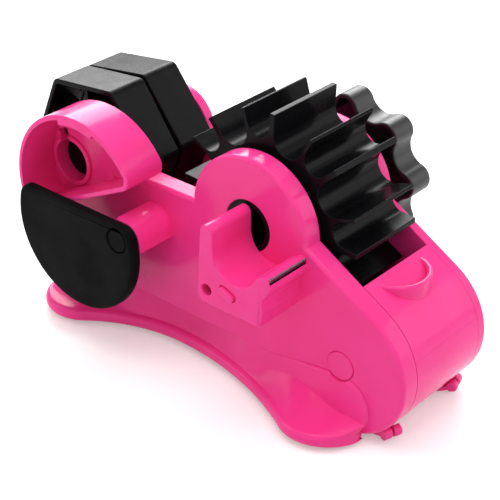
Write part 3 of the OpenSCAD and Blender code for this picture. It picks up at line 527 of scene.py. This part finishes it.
def smooth(x, low, high):
    """0 up to low, 1 from high on, and a soft step between."""
    t = min(1.0, max(0.0, (x - low) / (high - low)))
    return t * t * (3 - 2 * t)


def arc(c, r, a0, a1, steps):
    """Points on an arc."""
    turns = [a0 + (a1 - a0) * k / steps for k in range(steps + 1)]
    return [Vector((c[0] + r * math.cos(a), c[1] + r * math.sin(a))) for a in turns]


def flange_side(face):
    """One side of the flange in plan, from the left end to the nose."""
    left, right = (Vector((x, face + out)) for x, out, r in (LOBE_LEFT, LOBE_RIGHT))
    waist = Vector((WAIST_X, face - WAIST_IN))
    sides = []
    for lobe, r in ((left, LOBE_LEFT[2]), (right, LOBE_RIGHT[2])):
        k = waist.y - lobe.y
        reach = ((lobe.x - waist.x) ** 2 + k * k - r * r) / (2 * (r - k))
        c = waist + Vector((0, reach))
        sides.append((c, reach, math.atan2(c.y - lobe.y, c.x - lobe.x)))
    (cl, rl, al), (cr, rr, ar) = sides
    low = 1.5 * math.pi
    return (arc(left, LOBE_LEFT[2], math.pi, al, LOBE_STEPS)
            + arc(cl, rl, math.pi + al, low, WAIST_STEPS)[1:]
            + arc(cr, rr, low, math.pi + ar, WAIST_STEPS)[1:]
            + arc(right, LOBE_RIGHT[2], ar, 0, LOBE_STEPS)[1:])


def flank_top(p, v, face, join):
    """Top of the flank above the flange's point p, and the way out of the arch there.
    v runs along the right lobe."""
    if v < RISE_PART:
        u = v / RISE_PART
        eased = u * (RISE_EASE + (1 - RISE_EASE) * u)
        x = max(p.x, WALL_LEFT_X + 1) if v <= 0 else join + (ARCH[0] - join) * eased
        risen = max(0.0, min(1.0, (x - RISE_X) / (ARCH[0] - RISE_X)))
        y = min(p.y - COVE_IN if v <= 0 else p.y, face + ARCH_LIP * risen)
        rise = (ARCH[1] + ARCH_R - SEAT_Z) * (1 - math.cos(math.pi * risen)) / 2
        return Vector((x, y, SEAT_Z + rise)), Vector((0, 0, 1))
    a = math.radians(90 + (ARCH_END - 90) * (v - RISE_PART) / (1 - RISE_PART))
    way = Vector((math.cos(a), 0, math.sin(a)))
    lip = ARCH_LIP * (math.pi / 2 + a) / math.pi
    return Vector((ARCH[0], face + lip, ARCH[1])) + ARCH_R * way, way


def flank_column(p, v, face, join):
    """Points from the underside out round the flange, up the flank and over its lip into the wall."""
    top, way = flank_top(p, v, face, join)
    lip = max(0.0, top.y - face)
    end = top - LIP_ROUND * min(1.0, lip / ARCH_LIP) * way
    deep = FLANGE_D / max(math.dist((p.x, p.y), (end.x, end.y)), FLANGE_D)
    high = min(FLANGE_H / (end.z - UNDERSIDE_Z), FLANGE_MOST)
    section = []
    for k in range(ROLL_STEPS + 1):
        a = math.pi * k / ROLL_STEPS
        section.append((1 - deep + deep * math.sin(a), high * (1 - math.cos(a)) / 2))
    creased = smooth(end.x, *CREASE_GROWS_X)
    crease_up = CREASE_UP - CREASE_FALL * smooth(end.x, *CREASE_FALLS_X)
    for k in range(1, COVE_STEPS + 1):
        t = k / COVE_STEPS
        a = math.pi / 2 * t
        cove = (1 - math.sin(a), 1 - math.cos(a))
        slope = (1 + (CREASE_OUT - 1) * min(1, 2 * t), crease_up * min(1, 2 * t))
        if t > 0.5:
            slope = (CREASE_OUT * (2 - 2 * t), crease_up + (1 - crease_up) * (2 * t - 1))
        out, up = ((1 - creased) * c + creased * d for c, d in zip(cove, slope))
        section.append(((1 - deep) * out, high + (1 - high) * up))
    points = []
    for out, up in section:
        x, y = end.x + out * (p.x - end.x), end.y + out * (p.y - end.y)
        points.append(Vector((x, y, UNDERSIDE_Z + up * (end.z - UNDERSIDE_Z))))
    for k in range(1, LIP_STEPS + 1):
        a = math.pi / 2 * k / LIP_STEPS
        if lip:
            over = end + math.sin(a) * (top - end)
            points.append(Vector((over.x, face - LIP_IN + (lip + LIP_IN) * math.cos(a), over.z)))
        else:
            points.append(top + Vector((0, 0, k / LIP_STEPS)))
    away = Vector((way.x, 0, max(way.z, 0))).normalized()
    points.append(points[-1] + SKIRT * away)
    return points


def flank(face, side):
    """Columns of one side of the base, from the left end to the nose."""
    points = flange_side(face)
    start = len(points) - 1 - LOBE_STEPS
    join = points[start].x
    columns = [flank_column(p, (k - start) / LOBE_STEPS, face, join) for k, p in enumerate(points)]
    return [[Vector((q.x, side * q.y, q.z)) for q in column] for column in columns]


def make_base():
    """The base with a finer flank than the CAD's: a crease beside the arch and a rounded lip round it."""
    ring = flank(WALL_Y, -1) + flank(REAR_Y, 1)[::-1]
    n, m = len(ring), len(ring[0])
    faces = []
    for i in range(n):
        a, b = i * m, (i + 1) % n * m
        faces += [(a + k, a + k + 1, b + k + 1, b + k) for k in range(m - 1)]
    for i in range(n // 2 - 1):
        for k in (0, m - 1):
            faces.append((i * m + k, (i + 1) * m + k, (n - 2 - i) * m + k, (n - 1 - i) * m + k))
    mesh = bpy.data.meshes.new("base")
    mesh.from_pydata([p * MM for column in ring for p in column], [], faces)
    finish_mesh(mesh)
    tongue_end = NOSE[0] + math.sqrt(NOSE_R ** 2 - (NOSE[1] - UNDERSIDE_Z) ** 2) - TONGUE_SHORT
    front, rear, bay, step = -WALL_Y - GAP, REAR_Y + GAP, BAY_Y - GAP, STEP_X - GAP
    # The later cutters reach a little farther sideways, so that their sides don't coincide
    cutters = [
        box_cutter((-FAR, front, SEAT_Z), (FAR, rear, FAR)),
        box_cutter((BAY_LEFT_X, -BAY_Y, BAY_FLOOR_Z), (FAR, BAY_Y, FAR)),
        box_cutter((step, front - SAME, BELOW_Z), (FAR, -bay, FAR)),
        box_cutter((step, bay, BELOW_Z), (FAR, rear + SAME, FAR)),
        box_cutter((tongue_end, front - 2 * SAME, BELOW_Z), (FAR, rear + 2 * SAME, FAR)),
    ]
    for x in BASE_SCREW_X:
        for y in (-(LINER_Y + WALL_Y) / 2, (LINER_Y + REAR_Y) / 2):
            cutters.append(rod_cutter(x, y, BASE_SCREW_R, BELOW_Z, FAR))
            cutters.append(rod_cutter(x, y, BASE_SCREW_HEAD_R, BELOW_Z, SEAT_Z - BASE_SCREW_GRIP))
    cutters += [rod_cutter(x, y, SUCKER_STEM_R, BELOW_Z, FAR) for x in SUCKER_X for y in SUCKER_Y]
    cap_room = rod_cutter(0, 0, CAP_ROOM_R, -CAP_ROOM_Y, CAP_ROOM_Y)
    bmesh.ops.rotate(cap_room, verts=cap_room.verts, matrix=Matrix.Rotation(math.pi / 2, 3, "X"))
    bmesh.ops.translate(cap_room, verts=cap_room.verts, vec=Vector((NOSE[0], 0, NOSE[1])) * MM)
    cutters.append(cap_room)
    piece("base", cut_out(mesh, cutters), "base_tray")


def make_body():
    """Walls, liners, nose and base."""
    for node, face, bay in (("front", -WALL_Y, -BAY_Y), ("rear", REAR_Y, BAY_Y)):
        outer = in_plane("y", face)
        outline = every(outer, clear_of_base, apart(DRUM, DRUM_HOLE_R), apart(NOSE, NOSE_CAP_R),
                        apart(SPOOL, AXLE_HOLE_R), apart(CLIP_SCREW, CLIP_HOLE_R))
        rounded(node + "_wall", node + "_side", (outline, EDGE["wall"]),
                (every(outer, within(DRUM, DRUM_HOLE_R)), EDGE["wall_hole"]),
                (every(outer, within(NOSE, NOSE_CAP_R)), EDGE["wall_hole"]))
        bay_edges = every(in_plane("y", bay), apart(DRUM, DRUM_HOLE_R))
        rounded(node + "_lining", node + "_liner", (bay_edges, EDGE["lining"]))
    rounded("deck", "nose_deck", (in_plane("z", DECK_Z), EDGE["deck"]))
    rounded("panel", "nose_panel")
    rounded("caps", "nose_caps", (in_plane("y", -WALL_Y - CAP_OUT, REAR_Y + CAP_OUT), EDGE["caps"]))
    make_base()


def fuller_below(at):
    """Moves the plate's rim out below its middle."""
    x, z = at.x - PLATE[0], at.z - PLATE[1]
    r = math.hypot(x, z)
    if r < PLATE_RIM * PLATE_R:
        return at
    grown = 1 + PLATE_FULLER * max(0.0, FULLER_FROM - z / r) / ((1 + FULLER_FROM) * r)
    return Vector((PLATE[0] + grown * x, at.y, PLATE[1] + grown * z))


def make_front():
    """Cup, arm, swing plate and clip on the front wall."""
    make_cup()
    rounded("arm", "plate_arm", (every(in_plane("y", ARM_Y), apart(PIVOT, PIVOT_BORE_R)), EDGE["arm"]))
    plate_front = in_plane("y", PLATE_FRONT_Y)
    rounded("plate", "swing_plate", (every(plate_front, apart(PIVOT, PIVOT_HEAD_R)), EDGE["plate"]),
            (in_plane("y", PLATE_BACK_Y), EDGE["plate_back"]),
            (every(plate_front, within(PIVOT, PIVOT_HEAD_R)), EDGE["plate_recess"]), reshape=fuller_below)
    head = every(in_plane("y", PIVOT_HEAD_Y), within(PIVOT, PIVOT_HEAD_R))
    rounded("pivot_head", "pivot_screw", (head, EDGE["pivot_head"]))
    make_clip()


def make_cup():
    """The cup with a round outer rim and without the nib, which the photo doesn't have."""
    rim = every(in_plane("y", CUP_RIM_Y), outward(CUP))
    tilt = Matrix.Rotation(CUP_TILT, 2)
    nib = [CUP_FLAT + tilt @ Vector(p) for p in NIB]
    rounded("cup", "side_cup", (rim, EDGE["cup_rim"]), (in_plane("y", CUP_COLLAR_Y), EDGE["cup_collar"]),
            cutters=[profile_cutter(nib, NIB_FRONT_Y, NIB_BACK_Y)])


def make_clip():
    """The clip with a straight arm face and a wavy grip, its button and its spring."""
    face = in_plane("y", CLIP_Y)
    seat, slot = within(CLIP_SCREW, CLIP_SEAT_R), within(BUTTON, BUTTON_R)
    outline = every(face, lambda edge: not either(seat, slot)(edge))
    beyond = [(GRIP_OUT_X, GRIP[-1][1]), (GRIP_OUT_X, GRIP[0][1])]
    cutters = [box_cutter(ARM_LOW, ARM_HIGH),
               profile_cutter(smooth_line(GRIP) + beyond, CLIP_FRONT_Y, CLIP_BACK_Y)]
    rounded("clip", "clip_body", (outline, EDGE["clip"]), (every(face, seat), EDGE["clip_seat"]),
            (every(face, slot), EDGE["clip_slot"]), cutters=cutters)
    rounded("button", "release_button", (in_plane("y", BUTTON_Y), EDGE["button"]))
    spring = rounded("spring", "button_spring")
    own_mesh(spring)


def on_grip(edge):
    """Picks the edges of a pull tab's two rolls."""
    return all(v.co.x / MM > TAB_GRIP_X for v in edge.verts)


def close_rims(at):
    """Takes the facing edges of the spool's two rims close together."""
    rim = abs(abs(at.y) - SPOOL_INNER_Y) < SAME and math.dist((at.x, at.z), SPOOL) > SPOOL_RIM_R
    return Vector((at.x, math.copysign(SPOOL_CLOSE_Y, at.y), at.z)) if rim else at


def long_fins(at):
    """Takes the rear ends of the fins close to the rear liner."""
    return Vector((at.x, FIN_END_Y, at.z)) if abs(at.y - FIN_Y) < SAME else at


def make_turning():
    """Drum, knob and spool, with the plug of the spool's axle."""
    fin_edges = either(in_plane("y", -FIN_Y, FIN_END_Y), every(along_y, apart(DRUM, FIN_TIP_R)))
    rounded("fins", "drum", (fin_edges, EDGE["fin"]), reshape=long_fins)
    rounded("grip", "knob", (in_plane("y", KNOB_FRONT_Y, KNOB_BACK_Y), EDGE["knob"]))
    corners = every(along_y, apart(SPOOL, SPOOL_CORNER_R))
    for name, node, side in (("spool_near", "spool_front", -1), ("spool_far", "spool_rear", 1)):
        rims = in_plane("y", side * SPOOL_OUTER_Y, side * SPOOL_CLOSE_Y)
        rounded(name, node, (corners, EDGE["spool_corner"]), (rims, EDGE["spool_rim"]), reshape=close_rims)
    rounded("axle_plug", "axle_cap", (in_plane("y", PLUG_Y), EDGE["plug"]))


def make_suckers():
    """Suction cups, with round edges on the pull tabs."""
    for corner in ("front_right", "rear_right", "front_left", "rear_left"):
        rounded("sucker_" + corner, "suction_cup_" + corner, (on_grip, EDGE["tab"]))


make_body()
make_front()
make_turning()
make_suckers()

add_floor()
add_world()
middle = (0, 0, 0.06)
add_lamp("top_box", (0.0, -0.1, 1.2), middle, size=(1.0, 1.0), power=7)
add_lamp("back_box", (-0.75, 0.9, 0.75), middle, size=(1.2, 0.7), power=22)
add_lamp("back_right_box", (0.8, 0.8, 0.5), middle, size=(0.8, 0.8), power=3)
add_lamp("left_box", (-0.95, -0.75, 0.7), middle, size=(0.6, 0.8), power=3)
add_lamp("front_box", (0.2, -1.3, 0.5), middle, size=(1.2, 0.6), power=2)
add_lamp("right_box", (0.9, -0.3, 0.9), middle, size=(0.8, 0.8), power=3)
add_camera()
bpy.context.scene.view_settings.view_transform = "Standard"
